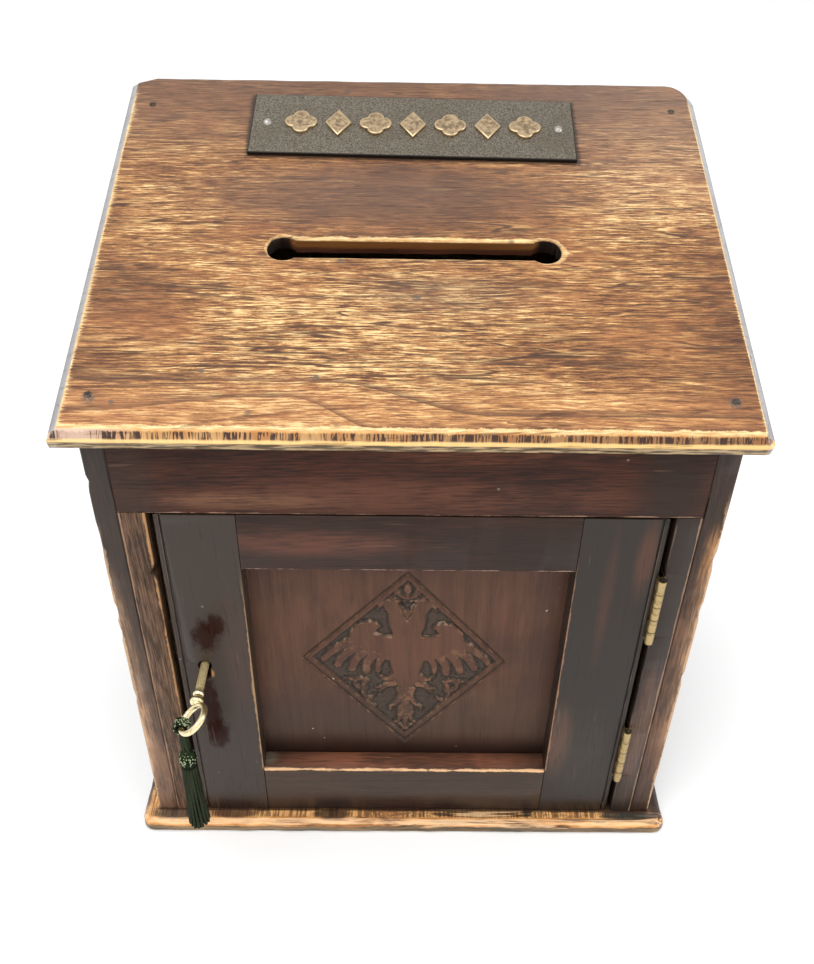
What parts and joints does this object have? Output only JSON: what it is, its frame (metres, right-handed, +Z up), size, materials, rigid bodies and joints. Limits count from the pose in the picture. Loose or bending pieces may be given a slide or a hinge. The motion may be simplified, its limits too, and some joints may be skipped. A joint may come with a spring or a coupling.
{
  "type": "desk letter box",
  "caption": "Sloping-topped wooden letter box with a slotted lid, name plate, hinged panelled door, lock, key and tassel.",
  "frame": {"origin": "middle of the base's underside", "axes": "+Z up, +X to the right seen from the front, the door and the low edge of the top face -Y"},
  "size_m": [0.2774, 0.2371, 0.3306],
  "materials": {
    "stained_oak": "dark stain under worn wax polish",
    "worn_oak": "stain worn back to golden brown",
    "carved_oak": "reddish dark stain, carved",
    "plain_pine": "unfinished",
    "dark_bronze": "hammered, dark patina",
    "raised_brass": "dull, rubbed",
    "old_iron": "dark",
    "pin_steel": "bright",
    "hinge_brass": "aged",
    "brass_screws": "aged",
    "key_brass": "polished, pale",
    "green_cord": "silk cord"
  },
  "bodies": {
    "case": {"base_board": "stained_oak", "left_side_board": "stained_oak", "right_side_board": "stained_oak", "back_board": "plain_pine", "front_rail": "stained_oak", "lock_side_stile": "stained_oak", "hinge_side_stile": "stained_oak", "door_stop": "plain_pine", "top_board": "worn_oak", "top_glue_blocks": "plain_pine", "base_glue_blocks": "plain_pine", "top_nails": "old_iron", "base_screws": "old_iron", "back_pins": "old_iron", "name_plate": "dark_bronze", "name_plate_ornaments": "raised_brass", "name_plate_pins": "pin_steel", "strike_plate": "hinge_brass", "strike_screws": "brass_screws", "carcass_hinge_screws": "brass_screws", "upper_hinge_carcass_leaf": "hinge_brass", "lower_hinge_carcass_leaf": "hinge_brass", "upper_hinge_pin": "pin_steel", "lower_hinge_pin": "pin_steel"},
    "door": {"door_lock_stile": "stained_oak", "door_hinge_stile": "stained_oak", "door_top_rail": "stained_oak", "door_bottom_rail": "stained_oak", "door_panel": "carved_oak", "lock_plate": "hinge_brass", "lock_posts": "hinge_brass", "lock_cap": "hinge_brass", "lock_spring": "pin_steel", "lock_drill_pin": "pin_steel", "lock_screws": "brass_screws", "door_hinge_screws": "brass_screws", "upper_hinge_door_leaf": "hinge_brass", "lower_hinge_door_leaf": "hinge_brass"},
    "bolt": {"lock_bolt": "hinge_brass"},
    "key": {"door_key": "key_brass"},
    "tassel_knot": {"tassel_loop": "green_cord"},
    "tassel": {"tassel_neck": "green_cord", "tassel_head": "green_cord", "tassel_skirt": "green_cord"}
  },
  "joints": [
    {"name": "door_hinge", "type": "hinge", "parent": "case", "child": "door", "pos_m": [0.10875, -0.0957, 0.1072], "axis": [0, 0, 1], "range_deg": [0, 180]},
    {"name": "key_turn", "type": "hinge", "parent": "door", "child": "key", "pos_m": [-0.0943, -0.125, 0.1182], "axis": [0, -1, 0], "range_deg": [0, 100.1]},
    {"name": "bolt_slide", "type": "slide", "parent": "door", "child": "bolt", "axis": [-1, 0, 0], "range_m": [0, 0.007]},
    {"name": "knot_hang", "type": "hinge", "parent": "key", "child": "tassel_knot", "pos_m": [-0.09966, -0.125, 0.1137], "axis": [0, -1, 0], "range_deg": [-100.1, 0]},
    {"name": "tassel_swing", "type": "hinge", "parent": "tassel_knot", "child": "tassel", "pos_m": [-0.09966, -0.125, 0.1137], "axis": [0, -1, 0], "range_deg": [-25, 25]}
  ],
  "couplings": [
    {"joint": "key_turn", "follows": "bolt_slide", "rad_per_m": 249.33},
    {"joint": "knot_hang", "follows": "bolt_slide", "rad_per_m": -249.33}
  ]
}
